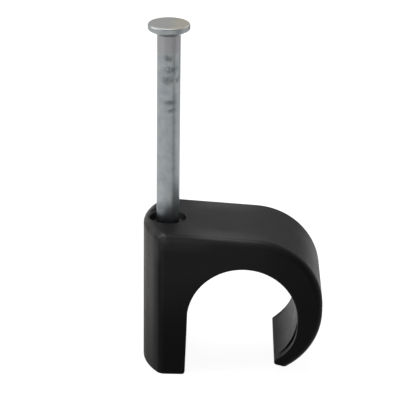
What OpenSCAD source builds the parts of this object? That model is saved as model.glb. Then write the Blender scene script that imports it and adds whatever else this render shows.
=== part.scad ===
// Nail-in cable clip: a moulded hook for one round cable, with the masonry nail that fixes it to a wall.
// Lengths are in mm. The wall is the plane z = 0, and the nail stands along +Z through the origin.
// The hook opens toward the wall on the +X side, and the cable runs along Y.

/* [Cable] */
// Diameter of the round cable that the hook holds
cable_d = 12; // [9:0.5:16]
// Gap between the cable and the wall once the clip is home
cable_lift = 0.5; // [0.2:0.05:1]

/* [Leg] */
// Depth of the clip along the cable
clip_depth = 11.4; // [9:0.1:13]
// Reach of the leg outward from the nail's axis
leg_out = 2.65; // [2.65:0.05:3.5]
// Reach of the leg inward from the nail's axis, as far as the cable
leg_in = 2.25; // [2:0.05:3]
// Slope of the leg's inner side, which lets the moulding leave its tool
leg_draft = 1.6; // [0.5:0.1:2]
// Plan radius of the leg's bowed outer end
end_r = 9.1; // [8.5:0.1:14]
// Plan radius of the two corners of that end
end_corner_r = 1.25; // [1.1:0.05:1.6]
// Radius of the foot's corner under the cable
foot_r = 0.3; // [0.2:0.05:0.5]

/* [Hook] */
// Radius of the outer curve beyond the radius of the cable
hook_over = 1.68; // [1.4:0.02:2]
// Offset of the outer curve's centre from the cable's axis, away from the nail
hook_shift = 1; // [0.8:0.01:1.2]
// Height of the lower outer curve's centre above the cable's axis
hook_rise = 0.95; // [0.8:0.05:1.2]
// Straight stretch between the lower and the upper outer curve
hook_side = 0.65; // [0.4:0.05:1]
// Slope of the top face down toward the hook
top_fall = 3.8; // [2:0.1:6]
// Angle below level at which the hook's tip ends, around the cable
tip_angle = 58; // [54:1:62]
// Slope of the tip's end face
tip_slope = 15; // [8:1:18]
// Radius of the tip's inner corner
tip_r = 0.3; // [0.3:0.05:0.6]
// Depth of the crescent step that the tool leaves inside the hook, beside the front and back faces
step_h = 0.16; // [0.1:0.02:0.2]
// Width of that step along the cable
step_w = 1.2; // [0.8:0.1:1.5]
// Angle of its middle below level, around the cable
step_angle = 26; // [22:1:28]

/* [Edges] */
// Radius of the outer edges
edge_r = 0.9; // [0.5:0.05:1.1]
// Radius of the edges around the cable
lip_r = 0.28; // [0.2:0.02:0.3]

/* [Nail] */
// Diameter of the shank, which the hole grips
nail_d = 2.5; // [2:0.1:2.6]
// Overall length of the nail
nail_l = 35; // [32:0.5:45]
// Diameter of the head
head_d = 4.5; // [4:0.1:4.6]
// Thickness of the head's rim
head_t = 0.62; // [0.5:0.02:0.7]
// Radius of the head's edges
head_edge_r = 0.22; // [0.1:0.02:0.22]
// Height of the cone under the head
neck_h = 0.55; // [0.3:0.05:0.8]
// Length of the point
point_l = 3.6; // [2.5:0.1:5]
// Height of the point above the wall, before the nail is driven
point_up = 3.3; // [1:0.1:4]
// Diameter of the recess that takes the cone under the head once the nail is driven
recess_d = 4; // [3.6:0.1:4.2]
// Depth of the recess's straight wall and mouth
recess_h = 1; // [0.8:0.1:1.5]
// Depth of the recess's sloping mouth, on which the head comes to rest
mouth_h = 0.22; // [0.2:0.02:0.4]

/* [Hidden] */
$fn = 96;
// Overshoot of every cut past the face that it opens
past = 1;
// A round is this much larger than its corner, so that it meets both faces at a small angle
round_grow = 1.015;
// Cuts that follow one another along an edge overlap by this length, or by this angle where they turn
lap = 0.05;
lap_angle = 0.4;

half = clip_depth / 2;
bore_r = cable_d / 2;
bore = [leg_in + bore_r, bore_r + cable_lift];
foot_in = leg_in - bore.y * tan(leg_draft);
foot_centre = [foot_in + foot_r * (tan(leg_draft) - 1 / cos(leg_draft)), foot_r];
hook_r = bore_r + hook_over;
hook_low = bore + [hook_shift, hook_rise];
hook_top = hook_low + [0, hook_side];
top_at_nail = top_z(0);
// The crescent step's outline is a smaller circle, which reaches just past the cable's
step_r = 0.75 * bore_r;
step_centre = bore + (bore_r + step_h - step_r) * heading(-step_angle);
// The leg's bowed end is a circle in plan, and each corner's round lies inside it
end_x = end_r - leg_out;
end_corner_y = half - end_corner_r;
end_corner_turn = asin(end_corner_y / (end_r - end_corner_r));
end_corner_back = (end_r - end_corner_r) * cos(end_corner_turn);
// Place of that circle's centre along the sloping top face, from the foot of the upper curve's radius
end_along = end_r - (leg_out + hook_top.x) / cos(top_fall) - (hook_r - edge_r) * tan(top_fall);
// The tip's end is a line through a point of the cable's circle, and its normal points into the hook
tip = bore + bore_r * [cos(tip_angle), -sin(tip_angle)];
tip_along = [cos(tip_slope), -sin(tip_slope)];
tip_normal = [sin(tip_slope), cos(tip_slope)];
tip_level = (tip - bore) * tip_normal + tip_r;
tip_centre = bore + tip_level * tip_normal + sqrt(pow(bore_r + tip_r, 2) - pow(tip_level, 2)) * tip_along;
tip_from = atan2(bore.y - tip_centre.y, bore.x - tip_centre.x);
tip_to = 270 - tip_slope;

// Height of the sloping top face, which lies on the upper outer curve
function top_z(x) = hook_top.y + hook_r / cos(top_fall) - (x - hook_top.x) * tan(top_fall);

function heading(angle) = [cos(angle), sin(angle)];

// What an edge of radius r loses, for a corner of material at [r, r]
module edge_loss(r) {
    difference() {
        square(r + past);
        circle(r * round_grow);
    }
}

// What a corner of an outline loses to a round of radius r about the origin, between two headings
module corner_loss(r, from, to) {
    far = r + past;
    difference() {
        polygon([[0, 0], far * heading(from), 2 * far * heading((from + to) / 2), far * heading(to)]);
        circle(r * round_grow);
    }
}

// An edge of radius r that runs around an axis at the distance turn_r, through an angle from a heading
module edge_ring(r, turn_r, from = 0, angle = 360) {
    rotate([0, 0, from]) rotate_extrude(angle = angle) translate([turn_r - r, -r]) edge_loss(r);
}

// Side view as a solid: x stays, and y of the drawing becomes z
module across() {
    translate([0, half, 0]) rotate([90, 0, 0]) linear_extrude(clip_depth) children();
}

// Places a ring's axis along the cable at a point of the side view, level with the front face
module on_front(point) {
    translate([point.x, -half, point.y]) rotate([90, 0, 0]) children();
}

// The frame of the sloping top face: its origin lies above the upper curve's centre
module on_top() {
    translate([hook_top.x, 0, hook_top.y]) rotate([0, top_fall, 0]) translate([0, 0, hook_r]) children();
}

// Repeats a shape of the front at the back
module both_faces() {
    for (side = [0, 1]) mirror([0, side, 0]) children();
}

// The space of the cable, open to the wall between the leg and the hook's tip
module channel_2d() {
    reach = 3 * hook_r;
    translate(bore) circle(bore_r);
    polygon([
        [leg_in, bore.y], [foot_in, 0], [foot_in, -reach], tip + reach * (tip_along - tip_normal),
        tip + reach * tip_along, tip, bore]);
}

module profile_2d() {
    left = -leg_out - past;
    difference() {
        union() {
            polygon([
                [left, 0], [bore.x, 0], hook_top, hook_top + hook_r * [sin(top_fall), cos(top_fall)],
                [left, top_z(left)]]);
            translate(hook_top) circle(hook_r);
            translate(hook_low) circle(hook_r);
            translate(hook_low) square([hook_r, hook_side]);
        }
        channel_2d();
        translate(tip_centre) corner_loss(tip_r, tip_from, tip_to);
        translate(foot_centre) corner_loss(foot_r, -90, -leg_draft);
    }
}

// Plan of the leg's bowed end, which runs on past the front and back faces
module end_plan_2d() {
    difference() {
        union() {
            translate([end_x, 0]) circle(end_r);
            translate([end_x, -end_r]) square([2 * hook_top.x, 2 * end_r]);
        }
        for (side = [-1, 1]) translate([end_x - end_corner_back, side * end_corner_y])
            corner_loss(end_corner_r, side * 90, side * (180 - end_corner_turn));
    }
}

// Outer edges: along the top face, over the upper curve, down the side and under the lower curve
module top_edge_loss() {
    run = end_corner_back - end_along + 2 * lap;
    on_top() translate([lap - run, -half + edge_r, -edge_r]) rotate([90, 0, 90]) linear_extrude(run)
        mirror([1, 0]) edge_loss(edge_r);
}

module upper_edge_loss() {
    on_front(hook_top) edge_ring(edge_r, hook_r, 0, 90 - top_fall);
}

module side_edge_loss() {
    translate([hook_low.x + hook_r - edge_r, -half + edge_r, hook_low.y - lap])
        linear_extrude(hook_side + 2 * lap) mirror([0, 1]) edge_loss(edge_r);
}

module lower_edge_loss() {
    on_front(hook_low) edge_ring(edge_r, hook_r, -90, 90);
}

// Top edge of the leg's bowed end, with its two corners
module end_edge_loss() {
    on_top() translate([end_along, 0, 0])
        edge_ring(edge_r, end_r, 180 - end_corner_turn - lap_angle, 2 * (end_corner_turn + lap_angle));
}

module end_corner_edge_loss() {
    on_top() translate([end_along - end_corner_back, -end_corner_y, 0])
        edge_ring(edge_r, end_corner_r * round_grow, 180 + end_corner_turn, 90 - end_corner_turn);
}

// Edges of the cable's space: around the cable, down the leg and around the tip
module bore_edge_loss() {
    from = tip_from - 180 - lap_angle;
    on_front(bore) rotate([0, 0, from]) rotate_extrude(angle = 180 + lap_angle - from)
        translate([bore_r + lip_r, -lip_r]) mirror([1, 0]) edge_loss(lip_r);
}

module leg_edge_loss() {
    run = bore.y + past;
    translate([leg_in, 0, bore.y]) rotate([0, leg_draft, 0]) translate([-lip_r, -half + lip_r, lap - run])
        linear_extrude(run) mirror([0, 1]) edge_loss(lip_r);
}

module tip_corner_edge_loss() {
    on_front(tip_centre) edge_ring(lip_r, tip_r * round_grow, tip_from, tip_to - tip_from);
}

module tip_end_edge_loss() {
    translate([tip_centre.x, -half + lip_r, tip_centre.y]) rotate([0, tip_slope, 0])
        translate([-lap, 0, lip_r - tip_r]) rotate([90, 0, 90]) linear_extrude(hook_r)
            rotate(180) edge_loss(lip_r);
}

module step_loss() {
    on_front(step_centre) translate([0, 0, -step_w]) cylinder(r = step_r, h = step_w + past);
}

// The nail's hole, which widens to a recess with a sloping mouth
module nail_hole() {
    shank_r = nail_d / 2;
    recess_r = recess_d / 2;
    floor_z = top_at_nail - recess_h;
    rim_z = top_at_nail - mouth_h;
    rotate_extrude() polygon([
        [0, -past], [shank_r, -past], [shank_r, floor_z - recess_r + shank_r], [recess_r, floor_z],
        [recess_r, rim_z], [recess_r + mouth_h + past, top_at_nail + past], [0, top_at_nail + past]]);
}

// The body before its hole and its edges
module blank() {
    intersection() {
        across() profile_2d();
        linear_extrude(2 * top_at_nail) end_plan_2d();
    }
}

// Edges that follow one another are cut in turn, so that no two cuts of one step meet
module rounded_blank() {
    difference() {
        difference() {
            blank();
            both_faces() top_edge_loss();
            both_faces() side_edge_loss();
            both_faces() bore_edge_loss();
            both_faces() tip_end_edge_loss();
            end_edge_loss();
        }
        both_faces() upper_edge_loss();
        both_faces() lower_edge_loss();
        both_faces() end_corner_edge_loss();
        both_faces() leg_edge_loss();
        both_faces() tip_corner_edge_loss();
        both_faces() step_loss();
    }
}

module clip_body() {
    color([0.07, 0.07, 0.08]) difference() {
        rounded_blank();
        nail_hole();
    }
}

module nail() {
    shank_r = nail_d / 2;
    head_r = head_d / 2;
    rim_z = nail_l - head_t;
    cone_turn = atan2(head_r - shank_r, neck_h);
    edge_x = head_r - head_edge_r;
    low_edge_z = rim_z + head_edge_r * tan(cone_turn / 2);
    color([0.55, 0.57, 0.6]) translate([0, 0, point_up]) rotate_extrude() difference() {
        polygon([
            [0, 0], [shank_r, point_l], [shank_r, rim_z - neck_h], [head_r, rim_z], [head_r, nail_l], [0, nail_l]]);
        translate([edge_x, nail_l - head_edge_r]) corner_loss(head_edge_r, 0, 90);
        translate([edge_x, low_edge_z]) corner_loss(head_edge_r, -cone_turn, 0);
    }
}

clip_body();
nail();
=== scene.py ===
# %% [markdown]
# # A nail-in cable clip
# A black moulded hook holds a round cable against a wall, and a zinc-plated masonry nail stands ready
# in its leg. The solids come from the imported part, in metres, with the wall at z = 0 and the nail along +Z.
# This lesson gives them their finish, their light and the photograph's camera.

# %% Load the part
from functools import reduce
from math import pi, prod, radians

import bpy
from mathutils import Matrix, Vector


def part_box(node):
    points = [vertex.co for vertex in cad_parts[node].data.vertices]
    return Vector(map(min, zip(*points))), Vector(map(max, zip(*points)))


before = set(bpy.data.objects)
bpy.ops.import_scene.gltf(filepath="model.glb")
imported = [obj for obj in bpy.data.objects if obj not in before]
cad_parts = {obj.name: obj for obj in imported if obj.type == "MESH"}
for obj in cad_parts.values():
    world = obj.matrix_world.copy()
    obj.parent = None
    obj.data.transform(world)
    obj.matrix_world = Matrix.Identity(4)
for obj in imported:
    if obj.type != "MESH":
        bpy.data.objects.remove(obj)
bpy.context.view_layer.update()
MM = 0.001
clip_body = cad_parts["clip_body"]
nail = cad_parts["nail"]
clip_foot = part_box("clip_body")[0].z
nail_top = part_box("nail")[1].z / MM
print("pieces:", sorted(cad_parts))

# %% [markdown]
# ## The camera
# A long lens stood a little above the clip and looked almost square at its front, with a trace of roll.
# The camera is built from those angles and from the place of the part's origin in the picture, because
# three angles and one point can be corrected one at a time when the render is laid over the photograph.

# %% Camera
PICTURE_SIDE = 400
VIEW_TURN = radians(0.57)
VIEW_TILT = radians(22.19)
VIEW_ROLL = radians(0.69)
FOCAL_PIXELS = 2000
PIXELS_PER_METRE = 8917
ORIGIN_ACROSS = 167.2
ORIGIN_DOWN = 350.55
SENSOR = 36
NEAREST, FARTHEST = 0.01, 10

camera_data = bpy.data.cameras.new("camera")
camera_data.sensor_width = SENSOR
camera_data.lens = SENSOR * FOCAL_PIXELS / PICTURE_SIDE
camera_data.clip_start = NEAREST
camera_data.clip_end = FARTHEST
camera = bpy.data.objects.new("camera", camera_data)
bpy.context.scene.collection.objects.link(camera)

turn = Matrix.Rotation(VIEW_TURN, 3, "Z") @ Matrix.Rotation(radians(90) - VIEW_TILT, 3, "X")
turn = turn @ Matrix.Rotation(VIEW_ROLL, 3, "Z")
origin_seen = Vector((
    (ORIGIN_ACROSS - PICTURE_SIDE / 2) / PIXELS_PER_METRE,
    (PICTURE_SIDE / 2 - ORIGIN_DOWN) / PIXELS_PER_METRE,
    -FOCAL_PIXELS / PIXELS_PER_METRE))
camera.matrix_world = Matrix.Translation(-(turn @ origin_seen)) @ turn.to_4x4()
bpy.context.scene.camera = camera
bpy.context.scene.view_settings.view_transform = "Standard"
print("camera at", [round(x, 4) for x in camera.location], "lens", camera_data.lens)

# %% [markdown]
# ## A small language for shaders
# Node trees are hard to read as lists of links. Here a socket is wrapped in a class with the usual
# arithmetic, so that `1 - mask` adds its Math node by itself, and one method adds any other node.

# %% Shader helper: wires
GRAIN_DEPTH = 0.02 * MM


def plug(socket, value):
    """Links a wire to a socket, or sets the socket to a constant."""
    if isinstance(value, Wire):
        value.tree.links.new(value.socket, socket)
    else:
        socket.default_value = value


class Wire:
    """A node's output that takes part in arithmetic. Each operation adds a node to the same tree."""

    def __init__(self, tree, socket=None):
        self.tree = tree
        self.socket = socket

    def add(self, kind, settings=None, inputs=None, output=0):
        """Adds a node: its settings first, then the values or links of its sockets."""
        node = self.tree.nodes.new(kind)
        for name, value in (settings or {}).items():
            setattr(node, name, value)
        for name, value in (inputs or {}).items():
            plug(node.inputs[name], value)
        return Wire(self.tree, node.outputs[output])

    def math(self, operation, *values):
        return self.add("ShaderNodeMath", {"operation": operation}, dict(enumerate(values)))

    def __add__(self, other):
        return self.math("ADD", self, other)

    def __sub__(self, other):
        return self.math("SUBTRACT", self, other)

    def __rsub__(self, other):
        return self.math("SUBTRACT", other, self)

    def __mul__(self, other):
        return self.math("MULTIPLY", self, other)

    def __truediv__(self, other):
        return self.math("DIVIDE", self, other)

    def __pow__(self, other):
        return self.math("POWER", self, other)

    def __abs__(self):
        return self.math("ABSOLUTE", self)

    __radd__ = __add__
    __rmul__ = __mul__

    def most(self, other):
        return self.math("MAXIMUM", self, other)

    def ramp(self, low, high):
        """0 up to low and 1 from high on, smooth between them; low may be the larger one."""
        return self.add(
            "ShaderNodeMapRange", {"interpolation_type": "SMOOTHSTEP"},
            {"Value": self, "From Min": low, "From Max": high})

    def noise(self, scale, detail=2.0, roughness=0.5, distortion=0.0):
        """Noise at this wire's coordinates, about 0.5 on average."""
        return self.add("ShaderNodeTexNoise", inputs={
            "Vector": self, "Scale": scale, "Detail": detail,
            "Roughness": roughness, "Distortion": distortion})

    def stretch(self, x, y, z):
        """These coordinates scaled along each axis."""
        return self.add("ShaderNodeVectorMath", {"operation": "MULTIPLY"}, {0: self, 1: (x, y, z)})

    def split(self):
        """The three parts of a vector."""
        parts = self.add("ShaderNodeSeparateXYZ", inputs={0: self}).socket.node
        return [Wire(self.tree, socket) for socket in parts.outputs]

    def paint(self, under, over):
        """A colour that goes from under to over as this mask goes from 0 to 1."""
        inputs = {0: self, 6: under, 7: over}
        for slot in (6, 7):
            if not isinstance(inputs[slot], Wire):
                inputs[slot] = (*inputs[slot], 1)
        return self.add("ShaderNodeMix", {"data_type": "RGBA"}, inputs, output=2)

    def bump(self, strength):
        """The surface's normal, bent by this height."""
        return self.add("ShaderNodeBump", inputs={
            "Strength": strength, "Distance": GRAIN_DEPTH, "Height": self})


print("wires ready")

# %% [markdown]
# ## Materials and patches
# Painted light and shade lie in places: near the top, along an edge, around the nail. Such a place could be
# painted on an unwrapped picture. Here a patch is a product of smooth ramps along the object's own
# coordinates, in millimetres, which needs no picture and stays where it is when the object moves.

# %% Shader helper: materials and patches
def start_material(name):
    """A new material, its surface shader and its object coordinates in millimetres."""
    material = bpy.data.materials.new(name)
    material.use_nodes = True
    tree = material.node_tree
    place = Wire(tree).add("ShaderNodeTexCoord", output="Object")
    return material, tree.nodes["Principled BSDF"], place.stretch(1 / MM, 1 / MM, 1 / MM)


def feed(shader, **inputs):
    """Gives a shader its wires and constants; an underscore in a name stands for a space."""
    for name, value in inputs.items():
        plug(shader.inputs[name.replace("_", " ")], value)


def dress(piece, material):
    """Gives a piece this one material."""
    piece.data.materials.clear()
    piece.data.materials.append(material)


def distance(u, v):
    """How far two coordinates are from zero together."""
    return (u * u + v * v) ** 0.5


def patch(where, **limits):
    """A mask from limits in mm along named coordinates: where it starts and where it is full,
    and where a patch ends again, the last full place and the end."""
    ramps = []
    for name, (start, full, *rest) in limits.items():
        ramps.append(where[name].ramp(start, full))
        if rest:
            last_full, end = rest
            ramps.append(where[name].ramp(end, last_full))
    return prod(ramps[1:], start=ramps[0])


print("materials and patches ready")

# %% [markdown]
# ## Black moulded plastic: painted light and shade
# The clip is moulded in black plastic. Its colour carries painted light: greyer toward the top, on the bowed
# end, below the top's edge and in the nail's recess, and painted shade on the hook, in front of the nail and
# along the upright corner. Each of these is one patch, painted over the colour so far, so that any can be
# changed alone.

# %% Clip plastic: painted light and shade
PLASTIC_BLACK = (0.0055, 0.0055, 0.0057)
LIT_BLACK = (0.0245, 0.0245, 0.0252)
CORNER_SHADE_BLACK = (0.006, 0.006, 0.006)
RIM_HIGHLIGHT_GREY = (0.041, 0.041, 0.042)
RECESS_LIGHT_GREY = (0.05, 0.051, 0.054)
END_DIM_SHEEN = (0.027, 0.0262, 0.0248)
END_BRIGHT_SHEEN = (0.063, 0.061, 0.058)
BOWED_END = (-1.0, -1.9)


def paint_light_and_shade(where, cloud):
    """The plastic's colour: black, with painted light where it is greyer and painted shade where it is
    darker.
    """
    # Painted light: mottled grey toward the top. The hook and the top in front of the nail get less of it and
    # stay darker as painted shade.
    shaded_hook = patch(where, across=(7, 15))
    shade_before_nail = patch(where, across=(3.6, 0.8), height=(14.8, 15.6), side=(5.3, 4.9))
    painted_light = patch(where, height=(4, 13)) * (1 - 0.8 * shaded_hook) * (0.6 + 0.8 * cloud) * (1 - 0.45 * shade_before_nail)
    colour = painted_light.paint(PLASTIC_BLACK, LIT_BLACK)
    # Painted highlight: a paler band on the front face just below the top's edge, where a rounder edge would
    # catch the light.
    rim_highlight = patch(where, height=(14.3, 15.3), across=(6.5, 2), side=(5.4, 5.68))
    colour = rim_highlight.paint(colour, RIM_HIGHLIGHT_GREY)
    # Painted light: the nail's recess is greyer inside, where the lamp above lights it.
    lit_recess = patch(where, from_nail=(2.25, 2.0), height=(14, 15))
    colour = lit_recess.paint(colour, RECESS_LIGHT_GREY)
    # Painted highlight: the bowed end is greyer toward the top and brightest near its front and back corners.
    end_sheen = patch(where, side=(3.0, 4.4, 4.8, 5.3)).paint(END_DIM_SHEEN, END_BRIGHT_SHEEN)
    colour = patch(where, across=BOWED_END, height=(-6, 12)).paint(colour, end_sheen)
    # Painted shade: a darker band down the upright corner between the bowed end and the front.
    corner_shade = patch(where, side=(4.6, 5.1), across=(-0.3, -0.8), height=(14.5, 12.5))
    return (0.8 * corner_shade).paint(colour, CORNER_SHADE_BLACK)


print("dust ready")

# %% [markdown]
# ## Black moulded plastic: gloss
# The skin is satin and slightly uneven, rougher where the foot is scuffed. Touch has polished the top's
# long edges and a streak above the bow, and a thin coat over the plastic shows that better than a lower
# roughness, because the coat mirrors the lamps and the painted light below it stays grey.

# %% Clip plastic: gloss
POLISH = 0.3


def spread_roughness(where, place, grain, cloud):
    """The plastic's roughness, which varies over some millimetres."""
    smear = place.stretch(0.4, 0.4, 1.6).noise(0.9, detail=4, distortion=0.6)
    scuffed = patch(where, height=(14, 0), across=(6, 3))
    outer_curve = patch(where, across=(14.3, 16.5))
    bowed_end = patch(where, across=BOWED_END)
    rough = 0.28 + 0.10 * cloud + 0.10 * (smear - 0.5) + 0.04 * grain
    return rough + 0.16 * scuffed + 0.06 * outer_curve + 0.05 * bowed_end


def polish(where):
    """The weight of the coat."""
    rubbed = patch(where, side=(2.2, 4.8, 4.9, 5.7), height=(10.5, 13), across=(1.5, 5, 5, 13))
    streak = patch(where, from_bow=(8.3, 8.6, 8.75, 9.0), height=(15.3, 15.9))
    return POLISH * rubbed + POLISH * streak


print("gloss ready")

# %% [markdown]
# ## Black moulded plastic: the material
# The mould was spark-eroded, which leaves a fine grain on the skin. It is a bump at a tenth of a millimetre,
# far too fine to model. The coordinates get three more names that the patches use: how far a point is
# from the middle of the clip, from the nail and from the centre of the bow.

# %% Clip plastic
BOW_CENTRE = 6.45

plastic, plastic_shader, place = start_material("clip_plastic")
across, along, height = place.split()
where = {
    "across": across, "height": height, "side": abs(along),
    "from_nail": distance(across, along), "from_bow": distance(across - BOW_CENTRE, along)}
grain = place.noise(9.0, detail=3, roughness=0.6)
cloud = place.noise(0.35, detail=3)
feed(
    plastic_shader, Base_Color=paint_light_and_shade(where, cloud), Normal=grain.bump(0.18),
    Roughness=spread_roughness(where, place, grain, cloud), Specular_IOR_Level=0.05,
    Coat_Weight=polish(where), Coat_Roughness=0.25)
dress(clip_body, plastic)
print("clip plastic on", clip_body.name, "with", len(plastic.node_tree.nodes), "nodes")

# %% [markdown]
# ## Zinc-plated steel: smudges
# The header's jaws have left dark marks on the front of the shank, below the head. They are soft oval spots,
# with wobbling edges and broken up by noise, so that they stay smudges and don't turn into signs.

# %% Nail steel: smudges
# Each mark has its middle across and its height, then its half width and half height, in mm.
GRIP_MARKS = [
    (0.0, 34.75, 0.50, 0.42), (0.2, 33.5, 0.75, 0.42), (-0.05, 32.35, 0.62, 0.52),
    (0.95, 32.3, 0.22, 0.30), (0.15, 29.85, 0.66, 0.34), (0.35, 28.9, 0.45, 0.26)]
MARK_EDGE = (1.4, 0.3)
FRONT = (0.3, -0.3)


def find_smudges(where, place, wobble):
    """A mask of all grip marks."""
    spots = []
    for middle, level, half_width, half_height in GRIP_MARKS:
        u = (where["across"] + wobble - middle) / half_width
        v = (where["height"] + wobble - level) / half_height
        spots.append(distance(u, v).ramp(*MARK_EDGE))
    broken = place.noise(2.4, detail=3).ramp(0.30, 0.54)
    return reduce(Wire.most, spots) * patch(where, along=FRONT) * broken


print("grip marks:", len(GRIP_MARKS))

# %% [markdown]
# ## Zinc-plated steel: the plating
# The nail is cut from drawn wire and plated with zinc, which is dull, blue-grey and blotchy.
# A purple-grey collar lies below the head and the head's top is a little warmer on one side. The shank
# carries painted shade: darker at its root, where it enters the plastic, and on its right side just above.
# These are again colours painted over the zinc.

# %% Nail steel: colour
ZINC_DARK = (0.225, 0.25, 0.262)
ZINC_PALE = (0.295, 0.31, 0.314)
COLLAR_PURPLE = (0.265, 0.26, 0.268)
CROWN_GREY = (0.303, 0.306, 0.296)
CROWN_WARM = (0.338, 0.322, 0.271)
SMUDGE_GREY = (0.11, 0.12, 0.12)
ROOT_SHADE_GREY = (0.06, 0.065, 0.068)

steel, steel_shader, place = start_material("nail_steel")
across, along, height = place.split()
where = {"across": across, "along": along, "height": height}
blotch = place.noise(0.8, detail=4, roughness=0.6)
wobble = 0.5 * (place.noise(1.6, detail=3) - 0.5)
marks = find_smudges(where, place, wobble)
collar = (height + 0.6 * wobble).ramp(35.0, 35.5) * height.ramp(37.5, 37.3)
crown = height.ramp(nail_top - 0.18, nail_top - 0.03)
warm = (across + 3 * (blotch - 0.5)).ramp(-0.2, 1.4)
# Painted shade: the shank is darker where it enters the plastic's hole, and on its right side just above it.
root_shade = 0.55 * patch(where, height=(18.7, 17.6))
right_side_shade = 0.25 * patch(where, across=(0.1, 0.8), height=(21.5, 19.5))

colour = blotch.ramp(0.3, 0.7).paint(ZINC_DARK, ZINC_PALE)
colour = (0.8 * collar).paint(colour, COLLAR_PURPLE)
colour = crown.paint(colour, warm.paint(CROWN_GREY, CROWN_WARM))
colour = (0.75 * marks).paint(colour, SMUDGE_GREY)
colour = root_shade.most(right_side_shade).paint(colour, ROOT_SHADE_GREY)
print("nail colours ready")

# %% [markdown]
# ## Zinc-plated steel: the material
# Drawing the wire leaves fine lines along the shank, and the zinc has small crystals. Both are bumps:
# the lines are noise stretched along the nail. Smudges, collar and head are duller than the rest.

# %% Nail steel
lines = place.stretch(1, 1, 0.04).noise(14.0, detail=2)
crystal = place.noise(6.0, detail=2)
rough = 0.27 + 0.12 * blotch + 0.06 * lines + 0.12 * marks + 0.1 * collar + 0.12 * crown
feed(
    steel_shader, Base_Color=colour, Roughness=rough, Metallic=1,
    Normal=(lines + 0.6 * crystal).bump(0.15))
dress(nail, steel)
print("nail steel on", nail.name, "with", len(steel.node_tree.nodes), "nodes")

# %% [markdown]
# ## A white floor
# The photograph is a cut-out on white. The floor is pale, and what the camera and the reflections see of it
# is white, so it keeps only a trace of the clip's shadow. Light Path tells those rays from the ones that
# light the clip, and so the floor looks white without throwing more light at the black plastic.

# %% Floor
FLOOR_SIDE = 3.0
FLOOR_DROP = 0.01 * MM
FLOOR_GLOW = 0.93
FLOOR_PALE = 0.22
BLACK, WHITE = (0, 0, 0), (1, 1, 1)


def rays_that_see(tree):
    """1 for rays from the camera, by reflection or by transmission, and 0 for rays that only light."""
    wire = Wire(tree)
    camera_ray, glossy_ray, transmission_ray = (
        wire.add("ShaderNodeLightPath", output=name)
        for name in ("Is Camera Ray", "Is Glossy Ray", "Is Transmission Ray"))
    return camera_ray.most(glossy_ray).most(transmission_ray)


floor_paper, floor_shader, _ = start_material("floor_paper")
feed(
    floor_shader, Base_Color=(FLOOR_PALE, FLOOR_PALE, FLOOR_PALE, 1), Roughness=1, Specular_IOR_Level=0,
    Emission_Strength=FLOOR_GLOW, Emission_Color=rays_that_see(floor_paper.node_tree).paint(BLACK, WHITE))
bpy.ops.mesh.primitive_plane_add(size=FLOOR_SIDE, location=(0, 0, clip_foot - FLOOR_DROP))
floor = bpy.context.object
floor.name = "floor"
dress(floor, floor_paper)
print("floor at z =", round(floor.location.z / MM, 3), "mm")

# %% [markdown]
# ## Soft lamps
# Black plastic shows its form by what it mirrors, so each lamp has one job. The one above draws the line
# along the top's front edge, the warm one on the left opens the bowed end, the low one gives the nail its
# blue left side, a weak one on the right closes the outer curve, and a weak one behind shows the back.

# %% Lamps
TARGET = Vector((0.006, 0, 0.014))
LAMP_DISTANCE = 0.5
# Each lamp has its direction from the clip, its side in metres, the brightness of its face and its colour.
LAMPS = {
    "lamp_above": ((-0.15, 0.15, 1), 0.45, 3.0, WHITE),
    "lamp_left": ((-1, 0, 0.5), 0.35, 3.6, (1, 0.965, 0.92)),
    "lamp_front_left": ((-0.8, -0.5, 0.15), 0.25, 1.4, (0.93, 0.97, 1)),
    "lamp_right": ((1, 0.6, 0.4), 0.4, 1.0, (0.97, 0.98, 1)),
    "lamp_behind": ((0.9, 1, 1), 0.3, 0.7, WHITE)}


def add_lamp(name, direction, size, brightness, colour):
    """A square soft lamp that looks at the clip from a direction."""
    data = bpy.data.lights.new(name, "AREA")
    data.size = size
    data.energy = brightness * pi * size * size
    data.color = colour
    lamp = bpy.data.objects.new(name, data)
    bpy.context.scene.collection.objects.link(lamp)
    away = Vector(direction).normalized()
    lamp.location = TARGET + away * LAMP_DISTANCE
    lamp.rotation_euler = away.to_track_quat("Z", "Y").to_euler()


for name, setting in LAMPS.items():
    add_lamp(name, *setting)
print("lamps:", list(LAMPS))

# %% [markdown]
# ## The room
# A black object on white also mirrors the room around it. The world is dim as a source of light
# and brighter in reflections, by the same Light Path mask as the floor, so that the outer curve and the nail
# mirror a pale room and the front of the clip stays black.

# %% World
DIM_SKY = (0.15, 0.15, 0.155)
MIRRORED_SKY = (0.6, 0.6, 0.61)

world = bpy.data.worlds.new("studio")
world.use_nodes = True
feed(world.node_tree.nodes["Background"], Color=rays_that_see(world.node_tree).paint(DIM_SKY, MIRRORED_SKY))
bpy.context.scene.world = world
print("world:", world.name)

# %% [markdown]
# ## Grey cards
# A bright round nail on a white floor has no edge. Photographers stand a grey card beside it, just outside
# the picture, and its reflection runs down the nail as a soft dark band. A second card behind on the right
# keeps the outer curve from mirroring only white. The cards are seen in reflections and not by the camera.

# %% Cards
CARD_GREY = 0.69
# Each card has its middle in mm, its turn about +Z in degrees, and its width and height in mm.
CARDS = {
    "nail_card": ((34, -24.7, 15), 54, 18, 30),
    "curve_card": ((52, 75, 20), -35, 60, 40)}


def add_card(name, middle, turn, width, height, material):
    """A grey card that stands on the floor."""
    upright = (radians(90), 0, radians(turn))
    bpy.ops.mesh.primitive_plane_add(size=1, location=Vector(middle) * MM, rotation=upright)
    card = bpy.context.object
    card.name = name
    card.scale = (width * MM, height * MM, 1)
    card.visible_camera = False
    card.visible_shadow = False
    dress(card, material)


card_paper, card_shader, _ = start_material("card_grey")
feed(card_shader, Base_Color=(CARD_GREY, CARD_GREY, CARD_GREY, 1), Roughness=1)
for name, setting in CARDS.items():
    add_card(name, *setting, card_paper)
print("cards:", list(CARDS))
